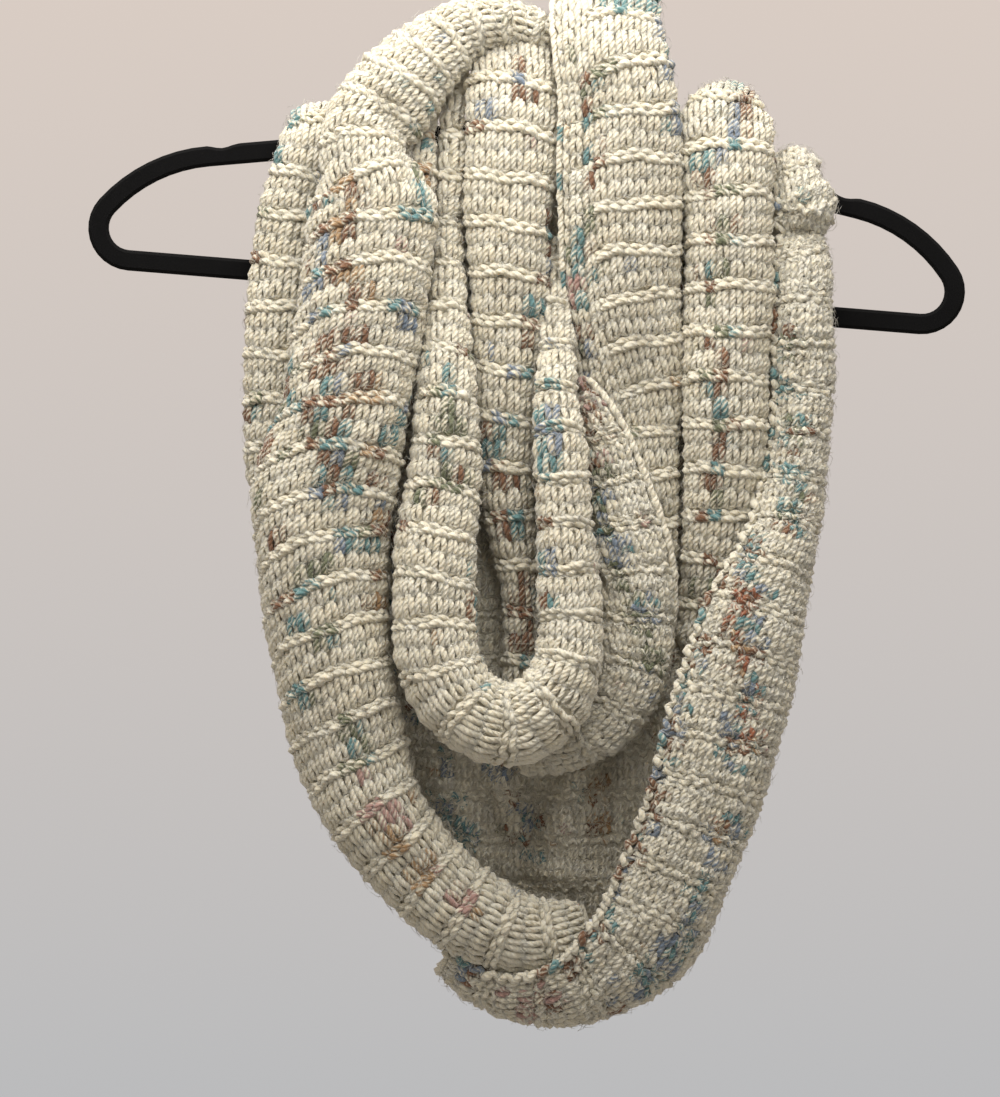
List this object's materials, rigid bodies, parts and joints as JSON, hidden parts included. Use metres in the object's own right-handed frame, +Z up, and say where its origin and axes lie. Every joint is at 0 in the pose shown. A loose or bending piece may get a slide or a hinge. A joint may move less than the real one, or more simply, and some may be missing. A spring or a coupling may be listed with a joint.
{
  "type": "infinity scarf on a hanger",
  "caption": "Chunky knitted infinity scarf wound twice round the neck of a slim flocked hanger, hanging in soft rolled folds in front of it.",
  "frame": {"origin": "where the inner top of the hanger's hook bears on a rail", "axes": "+Z up; the scarf's front faces -Y; +X is to the right seen from the front; the hanger lies in the plane Y = 0"},
  "size_m": [0.4506, 0.13, 0.5443],
  "materials": {
    "knit": "chunky cream wool knit in bands of smooth stitches between raised purl ridges, with teal, blue, brown and tan specks",
    "flock": "black velvet flocking over plastic",
    "hook_wire": "bright plated steel wire"
  },
  "bodies": {
    "root": {"back_wall": "knit", "centre_fold": "knit", "inner_loop": "knit", "left_shoulder": "knit", "left_tuck": "knit", "neck_pass": "knit", "outer_left": "knit", "outer_left_bend": "knit", "outer_left_foot": "knit", "outer_left_top": "knit", "outer_right": "knit", "right_front_fold": "knit", "right_inner_fold": "knit", "second_loop": "knit", "hanger_frame": "flock", "hook_collar": "flock", "hanger_hook": "hook_wire"}
  },
  "joints": []
}
